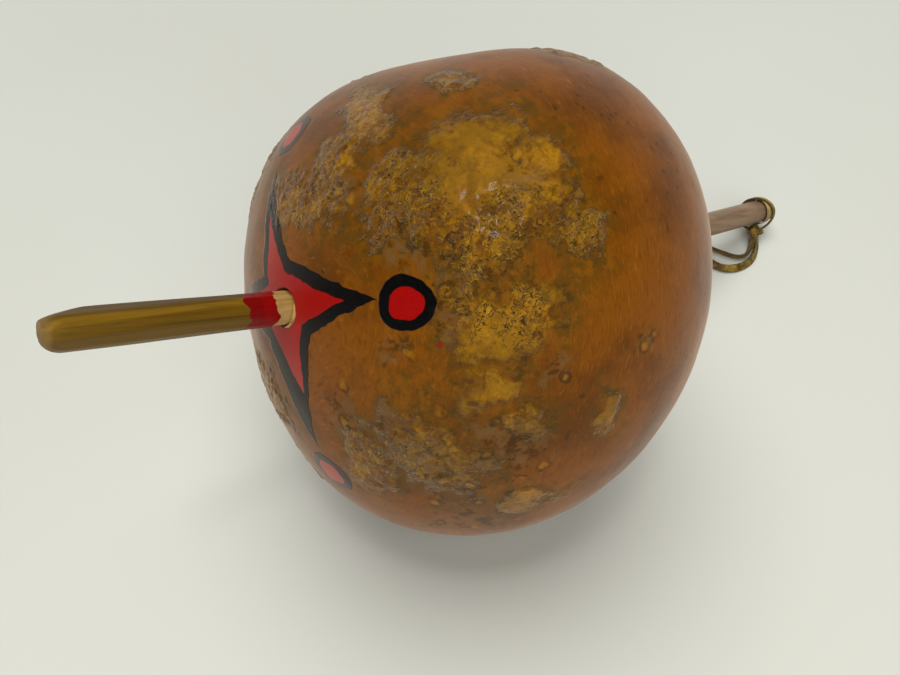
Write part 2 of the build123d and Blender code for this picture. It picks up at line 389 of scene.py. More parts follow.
def shell_tree(settings):
    """The node group for the hollow gourd: a wrapped grid, lobes, crust relief and both holes."""
    tree = bpy.data.node_groups.new("hollow_gourd", "GeometryNodeTree")
    graph = Graph(tree)
    add_input(tree, "Wall", "NodeSocketFloat", settings.wall)
    add_input(tree, "Lobes", "NodeSocketFloat", 1.0)
    add_input(tree, "Relief", "NodeSocketFloat", settings.relief)
    add_input(tree, "Finish", "NodeSocketMaterial")
    tree.interface.new_socket(name="Geometry", in_out="OUTPUT", socket_type="NodeSocketGeometry")
    wall = graph.node("NodeGroupInput", None, out="Wall")
    relief, lobe_size, finish = wall.out("Relief"), wall.out("Lobes"), wall.out("Finish")

    columns, outer_rows = settings.columns, settings.rows
    inner_rows = outer_rows // 8
    rows = outer_rows + inner_rows + 2
    grid = graph.node("GeometryNodeMeshGrid", None, 1.0, 1.0, columns + 1, rows + 1, out="Mesh")
    place = graph.node("GeometryNodeInputPosition")
    flat = graph.node("ShaderNodeSeparateXYZ", None, place, out="X")
    around = (flat + 0.5) * tau
    row = (flat.out("Y") + 0.5) * rows

    # From the peg's rim round to the handle's rim outside, then back again inside.
    peg_rim = asin(PEG_HOLE_RADIUS / GOURD_HALF_LENGTH)
    handle_rim = asin(HANDLE_HOLE_RADIUS / GOURD_HALF_LENGTH)
    inner_share = (GOURD_HALF_LENGTH - settings.wall) / GOURD_HALF_LENGTH
    inner_peg_rim = peg_rim / inner_share
    inner_handle_rim = handle_rim / inner_share
    outer_polar = (row / outer_rows).low(1.0) * (pi - handle_rim - peg_rim) + peg_rim
    inner_step = (row - (outer_rows + 1)) / inner_rows
    inner_polar = (1.0 - inner_step) * (pi - inner_handle_rim - inner_peg_rim) + inner_peg_rim
    is_inner = (row > outer_rows + 0.5) * (row < rows - 0.5)
    is_closing = row > rows - 0.5
    polar = outer_polar * (1.0 - is_inner) + inner_polar * is_inner
    polar = polar * (1.0 - is_closing) + is_closing * peg_rim

    flat_way = graph.join(
        polar.of("SINE") * around.of("COSINE"),
        polar.of("SINE") * around.of("SINE"),
        polar.of("COSINE"),
    )
    way = graph.join(*(flat_way.dot(shares) for shares in zip(near_side, up_side, peg_way)))
    # The far pole is turned over to where the handle leaves.
    hinge = (-peg_way).cross(handle_way)
    lean = polar.ease(radians(95), radians(165)) * hinge.length
    way = graph.node(
        "ShaderNodeVectorRotate",
        {"rotation_type": "AXIS_ANGLE"},
        Vector=way,
        Axis=hinge.normalized(),
        Angle=lean,
    )

    along = way.dot(peg_way)
    square = along * along
    stretch = square / GOURD_HALF_LENGTH**2 + (1.0 - square) / GOURD_RADIUS**2
    radius = 1.0 / stretch.power(0.5)
    # Lobes and relief fade out round both holes.
    free = along.ease(*(cos(radians(angle)) for angle in PEG_HOLE_FADE))
    past_handle = (cos(radians(angle)) for angle in HANDLE_HOLE_FADE)
    free = free * way.dot(handle_way).ease(*past_handle)
    lobes = 0.0
    for from_pole, turn, width, height in LOBES:
        nearness = way.dot(on_gourd(from_pole, turn)) - 1.0
        swell = nearness / (1.0 - cos(radians(width)))
        lobes = swell.of("EXPONENT") * height + lobes
    radius = radius + lobes * free * lobe_size

    wander = graph.warped(way, 6.0, 0.20)
    wander = graph.warped(wander, 20.0, 0.08)
    fields = {kind: patch_field(graph, wander, places) for kind, places in PATCHES.items()}
    grain = graph.noise(way, 34.0, 5.0, 0.62)
    lumps = grain.ease(0.42, 0.62) * 0.9 + 0.25
    lumps = lumps * (1.0 - fields["gold"].ease(0.0, 0.5) * 0.45)
    height = (fields["crust"] + (grain - 0.5) * 1.2).ease(-0.05, 0.45) * lumps
    ripple = graph.noise(way, 3.4, 3.0) * 1.6 - 0.8
    radius = radius + (height * relief + ripple * 0.5 * MM) * free
    inset = is_inner * wall
    radius = radius - inset

    # The skin rests on the table and the wall keeps its thickness there.
    spot = way.vector("MULTIPLY_ADD", graph.join(radius, radius, radius), centre)
    spot = graph.node("ShaderNodeSeparateXYZ", None, spot, out="X")
    resting = graph.join(spot, spot.out("Y"), spot.out("Z").high(inset))
    for name, field in fields.items():
        kept = {"data_type": "FLOAT", "domain": "POINT"}
        grid = graph.node("GeometryNodeStoreNamedAttribute", kept, grid, Name=name, Value=field)
    for kind, sockets in [
        ("SetPosition", {"Position": resting}),
        ("FlipFaces", {}),
        ("MergeByDistance", {"Distance": 1e-6}),
        ("SetShadeSmooth", {}),
        ("RealizeInstances", {}),
        ("SetMaterial", {"Material": finish}),
    ]:
        grid = graph.node("GeometryNode" + kind, None, grid, **sockets)
    graph.node("NodeGroupOutput", None, grid)
    return tree


def star_depth(graph, flat, tips, corners):
    """How far inside a four-pointed star a painted place lies, in degrees."""
    overlap = 1.5

    def spot(polar_place):
        from_pole, around = polar_place
        turn = radians(around)
        return Vector((from_pole * cos(turn), from_pole * sin(turn)))

    def edge(first, second, towards, spare=0.0):
        run = (second - first).normalized()
        square = Vector((-run.y, run.x))
        if square.dot(towards - first) < 0:
            square = -square
        return flat.dot((square.x, square.y, spare - square.dot(first)))

    middle = Vector((0, 0))
    core, arms = None, None
    for number, tip_place in enumerate(tips):
        tip = spot(tip_place)
        before, after = spot(corners[number - 1]), spot(corners[number])
        base = edge(before, after, middle)
        arm = edge(before, tip, middle).low(edge(after, tip, middle))
        arm = arm.low(edge(before, after, tip, overlap))
        core = base if core is None else core.low(base)
        arms = arm if arms is None else arms.high(arm)
    return arms.high(core)


def surfaced(graph, colour, rough, height=None, depth=0.0, **constants):
    """Ends a material's tree: its shader, its bump and its output."""
    normal = None
    if height is not None:
        normal = graph.node(
            "ShaderNodeBump", None, Strength=1.0, Distance=depth, Height=height, out="Normal"
        )
    shader = graph.node(
        "ShaderNodeBsdfPrincipled",
        None,
        Base_Color=colour,
        Roughness=rough,
        Normal=normal,
        **constants,
    )
    graph.node("ShaderNodeOutputMaterial", None, shader)


def new_material(name):
    """A new material, the graph of its tree and the place on the object that it colours."""
    material = bpy.data.materials.new(name)
    material.use_nodes = True
    graph = Graph(material.node_tree)
    return material, graph, graph.node("ShaderNodeTexCoord", None, out="Object")


def gourd_material(settings):
    """Varnished calabash skin with ochre crust, stains, cracks, fibres and enamel paint."""
    material, graph, place = new_material("varnished_gourd")
    way = place.vector("SUBTRACT", centre).vector("NORMALIZE")
    near, up, along = way.dot(near_side), way.dot(up_side), way.dot(peg_way)
    crust, stain, gold, crackle = (graph.stored(kind) for kind in PATCHES)
    coarse = graph.noise(place, 42.0, 5.0, 0.6)
    medium = graph.noise(place, 150.0, 6.0, 0.68)
    fine = graph.noise(place, 620.0, 4.0, 0.6)

    # Bare skin: orange brown, cloudy, with fine wrinkles round it.
    fibre_place = graph.join(near * 24, up * 24, along * 130)
    fibres = graph.noise(graph.warped(fibre_place, 0.12, 9.0), 1.0, 4.0, 0.75)
    flecks = 1.0 - graph.cells(graph.warped(place, 300, 0.003), 230.0).ease(0.10, 0.22)
    skin = graph.layered(
        settings.skin,
        (coarse.ease(0.38, 0.66), settings.skin_dark),
        (fibres.ease(0.50, 0.64) * 0.60, settings.skin_dark),
        ((1.0 - fibres.ease(0.32, 0.44)) * 0.50, settings.tan),
        (flecks * coarse.ease(0.44, 0.58) * 0.7, settings.bark),
    )

    # Raised crust: yellow ochre, blotched brown, with dark and blurred rims.
    inside = crust + (medium - 0.5) * 2.2 + (coarse - 0.5) * 1.2 + (fine - 0.5) * 0.6
    crusty = inside.ease(-0.06, 0.30)
    golden = (gold + (medium - 0.5) * 1.2).ease(-0.1, 0.4)
    blotch = graph.noise(place, 260.0, 4.0, 0.7)
    ochre = graph.layered(
        settings.ochre,
        (fine.ease(0.40, 0.60), settings.ochre_dark),
        (golden * 0.65, settings.ochre),
        (blotch.ease(0.50, 0.62) * (1.0 - golden * 0.6), settings.skin_dark),
    )
    mottled = (crust + 1.3).ease(0.0, 1.1) * blotch.ease(0.40, 0.58) * medium.ease(0.36, 0.56)
    scurf = (crust + (medium - 0.5) * 2.4 + (fine - 0.5) * 1.2).ease(-0.75, 0.0)
    patina = (coarse * 0.5 + medium * 0.5).ease(0.42, 0.58)
    peeled = graph.noise(place, 95.0, 4.0, 0.65, 0.8).ease(0.53, 0.60) * (1.0 - golden * 0.5)
    rim = 1.0 - abs(inside - 0.04).ease(0.0, 0.16)
    halo = 1.0 - abs(inside + 0.08).ease(0.0, 0.55)
    shown = graph.layered(
        skin,
        (mottled * 0.65, settings.moss),
        (scurf * (1.0 - blotch.ease(0.42, 0.54)) * 0.45, settings.ochre_dark),
        (crusty * 0.88, ochre),
        (crusty * patina * 0.50, settings.moss),
        (crusty * peeled * 0.70, settings.skin_dark),
        (halo * blotch.ease(0.36, 0.60) * 0.50, settings.moss),
        (rim * medium.ease(0.38, 0.56) * 0.45, settings.bark),
    )

    # Purplish grey bloom and dark stains.
    soaked = stain + (medium - 0.5) * 1.9 + (fine - 0.5) * 0.6
    bloom = soaked.ease(0.0, 0.5) * blotch.ease(0.42, 0.60)
    shown = graph.mix(bloom * 0.55, shown, settings.bloom)
    blot = soaked.ease(0.10, 0.45) * (1.0 - blotch.ease(0.36, 0.50))
    shown = graph.mix(blot * 0.75, shown, settings.bark)

    # Round scabs with a dark ring, near the stains.
    scabs = graph.cells(graph.warped(place, 260, 0.004), 140.0)
    nearby = (stain + (coarse - 0.5) * 1.5).ease(-0.7, 0.1) * blotch.ease(0.38, 0.50)
    shown = graph.mix((1.0 - scabs.ease(0.06, 0.24)) * nearby * 0.55, shown, settings.ochre)
    ring = 1.0 - abs(scabs - 0.26).ease(0.02, 0.11)
    shown = graph.mix(ring * nearby * medium.ease(0.40, 0.55) * 0.70, shown, settings.bark)

    # Short winding cracks in the crackled crust, with pale threads beside them.
    winding = graph.noise(place, 470.0, 2.0, 0.5, 1.2)
    netted = (crackle + (medium - 0.5) * 1.4).ease(-0.1, 0.3) * crusty
    line = abs(winding - 0.5)
    cracks = (1.0 - line.ease(0.004, 0.026)) * netted * fine.ease(0.38, 0.50)
    threads = (1.0 - abs(winding - 0.57).ease(0.006, 0.035)) * netted
    shown = graph.mix(threads * 0.40, shown, settings.thread)
    shown = graph.mix(cracks * 0.95, shown, settings.bark)

    # Enamel paint: black star and rings, red star and dots within them.
    polar = along.of("ARCCOSINE") * degrees(1)
    spread = polar / (near * near + up * up + 1e-9).power(0.5)
    wobble, ragged = graph.push(place, 130.0), graph.push(place, 520.0)
    flat = graph.join(near * spread, up * spread, 1.0)
    flat = wobble.vector("MULTIPLY_ADD", (2.4, 2.4, 0), flat)
    flat = ragged.vector("MULTIPLY_ADD", (0.35, 0.35, 0), flat)
    black = star_depth(graph, flat, STAR_TIPS, STAR_CORNERS)
    red = star_depth(graph, flat, RED_TIPS, RED_CORNERS)
    shaken = wobble.vector("MULTIPLY_ADD", (0.05,) * 3, way)
    for spot in (*DOTS, DRIP):
        apart = shaken.vector("DISTANCE", on_gourd(*spot), out="Value") * degrees(1)
        red = red.high((DRIP_RADIUS if spot == DRIP else DOT_RED_RADIUS) - apart)
        if spot != DRIP:
            black = black.high(DOT_RADIUS - apart)
    black, red = black.ease(-0.12, 0.12), red.ease(-0.12, 0.12)
    painted = black.high(red)
    strokes = graph.noise(graph.join(near * 60, up * 220, along * 60), 1.0, 3.0, 0.6)
    # The arms that handling reaches most are rubbed paler.
    right_arm = radians(STAR_TIPS[0][1])
    off_arm = abs(up * cos(right_arm) - near * sin(right_arm))
    rubbed = off_arm.ease(0.12, 0.30) * 0.55 + strokes.ease(0.5, 0.75) * 0.10
    red_paint = graph.mix(rubbed, settings.red, settings.red_worn)
    black_paint = graph.mix(strokes.ease(0.45, 0.8) * 0.5, settings.black, settings.black_worn)
    paint = graph.mix(red, black_paint, red_paint)
    shown = graph.mix(painted, shown, paint)

    rough = fine * 0.16 + 0.36 - crusty * 0.08
    rough = rough * (1.0 - painted) + painted * (strokes * 0.2 + 0.24)
    height = crusty * (medium * 0.9 + fine * 0.8) + threads * 0.3 - cracks * 0.9 - fibres * 0.12
    height = height * (1.0 - painted * 0.75) + painted * (strokes * 0.15 + 0.35)
    surfaced(
        graph,
        shown,
        rough,
        height,
        0.36 * MM,
        Coat_Weight=crusty * (1.0 - painted) * 0.18,
        Coat_Roughness=0.12,
        Specular_IOR_Level=0.15,
        Sheen_Weight=0.34,
        Sheen_Roughness=0.35,
        Sheen_Tint=(1.0, 0.78, 0.62, 1.0),
    )
    return material


def stick_point(reach):
    """A point on the stick's line: below nought towards the peg, above towards the handle."""
    bend = 20.0 * MM
    if abs(reach) >= bend:
        return centre + (peg_way * -reach if reach < 0 else handle_way * reach)
    share = (reach + bend) / (2 * bend)
    start, end = centre + peg_way * bend, centre + handle_way * bend
    return start * (1 - share) ** 2 + centre * 2 * share * (1 - share) + end * share**2


def peg_radius(reach, turn, settings):
    """The whittled peg's radius at a reach from the gourd's centre and an angle round it."""
    tip_round, neck_turn, facets = 4.6 * MM, 0.2, 10
    wedge = tau / 8
    neck = settings.neck_radius * cos(wedge / 2)
    octagon = neck / cos((turn + neck_turn) % wedge - wedge / 2)
    cut = STICK_RADIUS
    for number in range(facets):
        drift = noise.noise(Vector((number * 7.3, reach * 14, 1.7)))
        depth = noise.noise(Vector((number * 3.1, reach * 26, 9.2)))
        aim = tau * (number + 0.55 * drift) / facets
        facing = cos(turn - aim)
        if facing > 0.5:
            cut = min(cut, STICK_RADIUS * (0.965 + 0.07 * depth) / facing)
    # The peg tapers a little towards the gourd.
    cut *= 1 - 0.055 * (1 - smoothstep(76 * MM, 118 * MM, reach))
    shoulder = smoothstep(settings.neck_end - 1.2 * MM, settings.neck_end + 0.3 * MM, reach)
    inside = 1 - smoothstep(settings.neck_start - 2 * MM, settings.neck_start, reach)
    radius = octagon + (cut - octagon) * max(shoulder, inside)
    past = max(0.0, reach - (PEG_REACH - tip_round)) / tip_round
    return radius * (0.30 + 0.70 * sqrt(max(0.0, 1 - past * past)))


def stick_rings(settings):
    """Rings of points along the whole stick, whittled at the peg and smooth at the handle."""
    sides = 72
    # Up to each of these reaches, how far apart the rings stand.
    spacing = [
        (4 * MM - PEG_REACH, 0.35 * MM),
        (-60 * MM, 0.7 * MM),
        (HANDLE_REACH - 3 * MM, 2.5 * MM),
        (HANDLE_REACH, 0.25 * MM),
    ]
    steps = [-PEG_REACH]
    for until, gap in spacing:
        while steps[-1] < until:
            steps.append(steps[-1] + gap)
    steps[-1] = HANDLE_REACH
    # A slanting cut across the peg's tip.
    bevel_side = unit(up_side * 0.68 - near_side * 0.73)
    bevel_way = unit(peg_way * 0.22 + bevel_side * 0.97)
    bevel_start = centre + peg_way * (PEG_REACH - 10.0 * MM) + bevel_side * 4.75 * MM
    rings = []
    for reach in steps:
        share = smoothstep(-20 * MM, 20 * MM, reach)
        near = near_side.lerp(handle_side, share)
        up = up_side.lerp(handle_top, share)
        ring = []
        for side in range(sides):
            turn = tau * side / sides
            if reach < 0:
                radius = peg_radius(-reach, turn, settings)
            else:
                grain = noise.noise(Vector((cos(turn), sin(turn), reach * 30)))
                end = max(0.0, reach - HANDLE_REACH + 0.7 * MM)
                radius = STICK_RADIUS * (1 + 0.012 * grain) - end
            out = near * cos(turn) + up * sin(turn)
            point = stick_point(reach) + out * radius
            over = (point - bevel_start).dot(bevel_way)
            if reach < -60 * MM and over > 0:
                point -= bevel_way * (0.9 * over * over / (over + 0.5 * MM))
            ring.append(point)
        rings.append(ring)
    return rings


def skinned(name, rings, closed=False, crease=35):
    """A mesh object with one skin over rings of points. Open ends are capped."""
    form = bmesh.new()
    skin = [[form.verts.new(point) for point in ring] for ring in rings]
    pairs = list(zip(skin, skin[1:])) + ([(skin[-1], skin[0])] if closed else [])
    for first, second in pairs:
        count = len(first)
        for side in range(count):
            after = (side + 1) % count
            form.faces.new((first[side], first[after], second[after], second[side]))
    if not closed:
        for ring in (skin[0], skin[-1]):
            hub = form.verts.new(sum((vertex.co for vertex in ring), Vector()) / len(ring))
            for side, vertex in enumerate(ring):
                form.faces.new((vertex, ring[(side + 1) % len(ring)], hub))
    bmesh.ops.recalc_face_normals(form, faces=form.faces)
    for face in form.faces:
        face.smooth = True
    piece = formed(name, form)
    piece.data.set_sharp_from_angle(angle=radians(crease))
    return piece


def smooth_line(route, cyclic=False):
    """The points of one smooth curve with those control points."""
    curve = bpy.data.curves.new("line", "CURVE")
    curve.dimensions = "3D"
    curve.resolution_u = 8
    spline = curve.splines.new("NURBS")
    spline.points.add(len(route) - 1)
    for point, place in zip(spline.points, route):
        point.co = (*place, 1.0)
    spline.order_u = 3
    spline.use_cyclic_u = cyclic
    spline.use_endpoint_u = not cyclic
    carrier = bpy.data.objects.new("line", curve)
    mesh = bpy.data.meshes.new_from_object(carrier)
    points = [vertex.co.copy() for vertex in mesh.vertices]
    bpy.data.meshes.remove(mesh)
    bpy.data.objects.remove(carrier)
    bpy.data.curves.remove(curve)
    return points


def tangents(line, cyclic):
    """The direction of a line at each of its points."""
    count = len(line)
    ways = []
    for number in range(count):
        after = line[(number + 1) % count] if cyclic else line[min(number + 1, count - 1)]
        before = line[number - 1] if cyclic else line[max(number - 1, 0)]
        ways.append((after - before).normalized())
    return ways


def boxed(value, roundness):
    """A sine or cosine pushed out towards the side of a square."""
    return copysign(abs(value) ** roundness, value)


def strap(name, line, faces, width, thickness, cyclic=False, floor=None):
    """A flat lace along a line. Faces holds the way that its flat side looks.

    Each vertex stores how near the lace's edge it lies: nought in the middle, one at the edge.
    """
    turns = [tau * corner / STRAP_SIDES for corner in range(STRAP_SIDES)]
    rings = []
    for point, way, look in zip(line, tangents(line, cyclic), faces):
        side = way.cross(look).normalized()
        face = side.cross(way)
        hand_cut = 1 + 0.10 * noise.noise(point * 260) + 0.05 * noise.noise(point * 900)
        ring = []
        for turn in turns:
            across, over = boxed(cos(turn), 0.55), boxed(sin(turn), 0.7)
            curl = 0.18 * thickness * across * across
            spot = point + side * (across * width * hand_cut / 2)
            spot += face * (over * thickness / 2 + curl)
            if floor is not None:
                spot.z = max(spot.z, floor)
            ring.append(spot)
        rings.append(ring)
    piece = skinned(name, rings, closed=cyclic, crease=60)
    marks = piece.data.attributes.new("edge", "FLOAT", "POINT")
    for number, mark in enumerate(marks.data):
        mark.value = abs(cos(turns[number % STRAP_SIDES]))
    return piece


def wood_material(settings):
    """Oiled, whittled wood: stained peg with painted shade below, red band, bare neck and grey brown handle."""
    material, graph, place = new_material("whittled_wood")
    from_centre = place.vector("SUBTRACT", centre)
    along = from_centre.dot(peg_way)
    stretched = graph.join(
        from_centre.dot(near_side) * 420, from_centre.dot(up_side) * 420, along * 22
    )
    streaks = graph.noise(graph.warped(stretched, 0.35, 1.6), 0.8, 4.0, 0.6, 0.8)
    pores = graph.noise(stretched, 4.5, 3.0, 0.6)
    wide = graph.noise(graph.warped(stretched, 0.5, 1.5), 0.26, 4.0, 0.6, 1.8)
    # Painted shade: the peg's lower side, turned from the light, is darkened with the streak colour along a wavy
    # line.
    facing = from_centre.dot(up_side * 0.75 - near_side * 0.66) + (wide - 0.5) * 5.0 * MM
    under = 1.0 - facing.ease(-1.4 * MM, 1.2 * MM)
    tip = along.ease(PEG_REACH - 2.2 * MM, PEG_REACH - 0.6 * MM)
    stained = graph.layered(
        settings.stain_light,
        (streaks.ease(0.40, 0.68), settings.stain),
        (wide.ease(0.46, 0.60) * 0.70, settings.streak_and_shade),
        (pores.ease(0.58, 0.74) * 0.35, settings.streak_and_shade),
        (under * 0.50, settings.streak_and_shade),
        (tip * 0.22, settings.bare),
    )

    bare = graph.mix(streaks.ease(0.35, 0.7) * 0.7, settings.bare, settings.stain_light)
    waver = graph.noise(place, 210.0, 3.0) - 0.5
    line = along + waver * 7.0 * MM
    edge = 0.2 * MM
    shown = graph.mix(line.ease(STAIN_START, STAIN_START + 1.5 * edge), bare, stained)
    band = line.ease(BAND_START, BAND_START + edge) * (1.0 - line.ease(BAND_END - edge, BAND_END))
    second_coat = (along - waver * 5 * MM).ease(SECOND_COAT_START, SECOND_COAT_START + edge)
    band_paint = graph.mix(second_coat * 0.5, settings.band, settings.band_dark)
    shown = graph.mix(band, shown, band_paint)

    handle = graph.mix(streaks.ease(0.35, 0.7), settings.handle, settings.handle_dark)
    handle = graph.mix(graph.noise(place, 90.0, 3.0).ease(0.5, 0.7) * 0.2, handle, settings.bare)
    shown = graph.mix(along < 0.0, shown, handle)
    rough = streaks * 0.25 + 0.36 - band * 0.12
    height = streaks * 0.5 + pores * 0.4 + band * 0.5
    surfaced(graph, shown, rough, height, 0.25 * MM, Specular_IOR_Level=0.30)
    return material


def lace_material(name, light, dark, creased):
    """Worn leather: mottled along the lace, with fine creases and rubbed high spots."""
    material, graph, place = new_material(name)
    mottle = graph.noise(place, 210.0, 5.0, 0.70)
    drift = graph.noise(place, 85.0, 2.0)
    edge = graph.stored("edge")
    grain = graph.noise(place, 1500.0, 3.0, 0.6)
    pointed = graph.node("ShaderNodeNewGeometry", None, out="Pointiness")
    shown = graph.layered(
        dark,
        (mottle.ease(0.37, 0.63), light),
        (grain.ease(0.50, 0.64) * 0.65, creased),
        (pointed.ease(0.52, 0.58) * 0.30, light),
        (drift.ease(0.40, 0.66) * 0.45, dark),
        (edge.ease(0.55, 0.95) * mottle.ease(0.30, 0.55) * 0.70, creased),
    )
    height = mottle * 0.7 + grain * 0.4
    surfaced(graph, shown, grain * 0.25 + 0.42, height, 0.3 * MM, Specular_IOR_Level=0.35)
    return material


def glue_material(settings):
    """Clear amber glue, glossy, with a little dust in it."""
    material, graph, place = new_material("dried_glue")
    cloud = graph.noise(place, 420.0, 3.0)
    shown = graph.mix(cloud.ease(0.4, 0.65), settings.light, settings.dark)
    clear = {"Transmission_Weight": 0.35, "IOR": 1.5}
    surfaced(graph, shown, cloud * 0.1 + 0.08, cloud, 0.1 * MM, **clear)
    return material


def seed_material(settings):
    """Dull, dry seed coats."""
    material, graph, place = new_material("dry_seed")
    mottle = graph.noise(place, 700.0, 4.0, 0.6)
    shown = graph.mix(mottle.ease(0.4, 0.62), settings.dark, settings.light)
    surfaced(graph, shown, mottle * 0.2 + 0.6, mottle, 0.15 * MM)
    return material


def floor_material(settings):
    """A pale painted table top."""
    material, graph, place = new_material("pale_table")
    cloud = graph.noise(place, 3.0, 2.0)
    shown = graph.mix(cloud.ease(0.3, 0.7), settings.table, settings.table_shade)
    surfaced(graph, shown, cloud * 0.1 + 0.5)
    return material


def glue_bead(name, middle, way, near, up, first, last):
    """A lumpy bead of glue on an arc round the stick, between two angles in degrees."""
    steps, sides = 90, 16
    rings = []
    for step in range(steps + 1):
        share = step / steps
        turn = radians(first + (last - first) * share)
        out = near * cos(turn) + up * sin(turn)
        lump = 0.62 + 0.75 * abs(noise.noise(out * 3.7 + Vector((0, 0, 2.2))))
        lump *= sqrt(max(0.02, sin(pi * share)))
        hub = middle + out * BEAD_ARC_RADIUS
        ring = []
        for side in range(sides):
            angle = tau * side / sides
            spot = (out * cos(angle) + way * sin(angle)) * BEAD_RADIUS
            uneven = 1 + 0.18 * noise.noise((hub + spot) * 900)
            ring.append(hub + spot * lump * uneven)
        rings.append(ring)
    return skinned(name, rings)


def colour_of(name, description, *value):
    """A colour property, from its red, green and blue."""
    return FloatVectorProperty(
        name=name, description=description, default=(*value, 1), size=4, subtype="COLOR",
        min=0, max=1,
    )


def length_of(name, description, value):
    """A length property, in metres."""
    return FloatProperty(
        name=name, description=description, default=value, unit="LENGTH", min=0, precision=5
    )


class GourdSettings(bpy.types.PropertyGroup):
    wall: length_of("Wall", "Thickness of the dried shell", 4 * MM)
    relief: length_of("Crust height", "How far the crust stands out", 0.55 * MM)
    columns: IntProperty(name="Columns", description="Faces round the gourd", default=384)
    rows: IntProperty(name="Rows", description="Faces from hole to hole", default=208)
    skin: colour_of("Skin", "Varnished bare skin", 0.195, 0.058, 0.0005)
    skin_dark: colour_of("Dark skin", "Cloudy darker skin", 0.105, 0.031, 0.0004)
    tan: colour_of("Tan skin", "Paler fibres", 0.30, 0.110, 0.008)
    ochre: colour_of("Crust", "Yellow crust", 0.35, 0.160, 0.002)
    ochre_dark: colour_of("Dark crust", "Browner crust", 0.185, 0.078, 0.0015)
    thread: colour_of("Threads", "Pale threads in the crust", 0.50, 0.28, 0.025)
    moss: colour_of("Moss", "Olive brown halo of the crust", 0.085, 0.042, 0.002)
    bark: colour_of("Bark", "Rims, cracks and flecks", 0.032, 0.015, 0.001)
    bloom: colour_of("Bloom", "Purplish grey bloom", 0.165, 0.088, 0.030)
    black: colour_of("Black paint", "Star outline and rings", 0.0015, 0.0015, 0.0015)
    black_worn: colour_of("Worn black", "Black paint where thin", 0.006, 0.0065, 0.007)
    red: colour_of("Red paint", "Star and dots", 0.30, 0.0012, 0.0008)
    red_worn: colour_of("Worn red", "Red paint where rubbed", 0.36, 0.045, 0.028)


class StickSettings(bpy.types.PropertyGroup):
    neck_radius: length_of("Neck radius", "Radius of the eight-sided neck", 4.6 * MM)
    neck_start: length_of("Neck start", "Where the neck starts, inside", 62 * MM)
    neck_end: length_of("Neck end", "Where the neck's shoulder is", 72 * MM)
    stain: colour_of("Stain", "Olive brown stain", 0.115, 0.056, 0.002)
    stain_light: colour_of("Light stain", "Where the stain is thin", 0.21, 0.112, 0.005)
    # This colour paints the grain's dark streaks and also the painted shade on the peg's lower side.
    streak_and_shade: colour_of("Streaks", "Dark streaks along the grain", 0.050, 0.024, 0.001)
    bare: colour_of("Bare wood", "Fresh cut wood", 0.45, 0.29, 0.11)
    band: colour_of("Band", "Red band", 0.22, 0.0008, 0.0008)
    band_dark: colour_of("Second coat", "Where the band is thick", 0.12, 0.0006, 0.0006)
    handle: colour_of("Handle", "Grey brown handle", 0.250, 0.158, 0.092)
    handle_dark: colour_of("Dark handle", "Darker grain", 0.140, 0.084, 0.046)


class LaceSettings(bpy.types.PropertyGroup):
    width: length_of("Lace width", "Width of the flat lace", 3.6 * MM)
    thickness: length_of("Lace thickness", "Thickness of the lace", 1.2 * MM)
    pale: colour_of("Pale lace", "The tight winding", 0.58, 0.46, 0.21)
    pale_dark: colour_of("Pale lace, dirty", "Handled winding", 0.28, 0.20, 0.07)
    light: colour_of("Lace", "Rubbed yellow leather", 0.31, 0.20, 0.035)
    dark: colour_of("Dark lace", "Olive brown leather", 0.080, 0.046, 0.009)
    creased: colour_of("Creases", "Dirt in the creases", 0.025, 0.015, 0.004)


class GlueSettings(bpy.types.PropertyGroup):
    light: colour_of("Glue", "Clear amber glue", 0.62, 0.36, 0.12)
    dark: colour_of("Dark glue", "Thicker glue", 0.32, 0.14, 0.03)


class SeedSettings(bpy.types.PropertyGroup):
    light: colour_of("Seed", "Lighter seed coat", 0.10, 0.062, 0.032)
    dark: colour_of("Dark seed", "Darker seed coat", 0.035, 0.022, 0.014)


class StageSettings(bpy.types.PropertyGroup):
    size: length_of("Table size", "Side of the table top", 30.0)
    table: colour_of("Table", "Pale table top", 0.64, 0.65, 0.595)
    table_shade: colour_of("Table shade", "Cloudier table top", 0.62, 0.625, 0.565)
    lens: FloatProperty(name="Lens", description="Focal length", default=34.0, unit="CAMERA")


class RATTLE_OT_gourd(bpy.types.Operator):
    """Builds the hollow varnished gourd"""

    bl_idname = "rattle.gourd"
    bl_label = "Gourd"

    def execute(self, context):
        settings = context.scene.rattle_gourd
        inputs = {"Relief": settings.relief, "Finish": gourd_material(settings)}
        shell = grown("gourd", shell_tree(settings), inputs)
        shell.data.set_sharp_from_angle(angle=radians(50))
        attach(shell, "rattle")
        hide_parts("gourd_shell")
        return {"FINISHED"}


class RATTLE_OT_stick(bpy.types.Operator):
    """Builds the whittled stick: peg, neck and handle"""

    bl_idname = "rattle.stick"
    bl_label = "Stick"

    def execute(self, context):
        settings = context.scene.rattle_stick
        stick = skinned("stick", stick_rings(settings), crease=24)
        stick.data.materials.append(wood_material(settings))
        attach(stick, "rattle")
        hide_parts("handle_stick")
        return {"FINISHED"}


class RATTLE_OT_glue(bpy.types.Operator):
    """Builds the beads of glue at the two holes"""

    bl_idname = "rattle.glue"
    bl_label = "Glue"

    def execute(self, context):
        finish = glue_material(context.scene.rattle_glue)
        peg_middle = centre + peg_way * 68.2 * MM
        handle_middle = centre + handle_way * 68.6 * MM
        peg_arc = (peg_middle, peg_way, near_side, up_side, -55, 55)
        handle_arc = (handle_middle, handle_way, handle_side, handle_top, -10, 352)
        for name, node, arc in (
            ("peg_bead", "peg_glue", peg_arc),
            ("handle_bead", "handle_glue", handle_arc),
        ):
            bead = glue_bead(name, *arc)
            bead.data.materials.append(finish)
            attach(bead, "rattle")
            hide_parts(node)
        return {"FINISHED"}


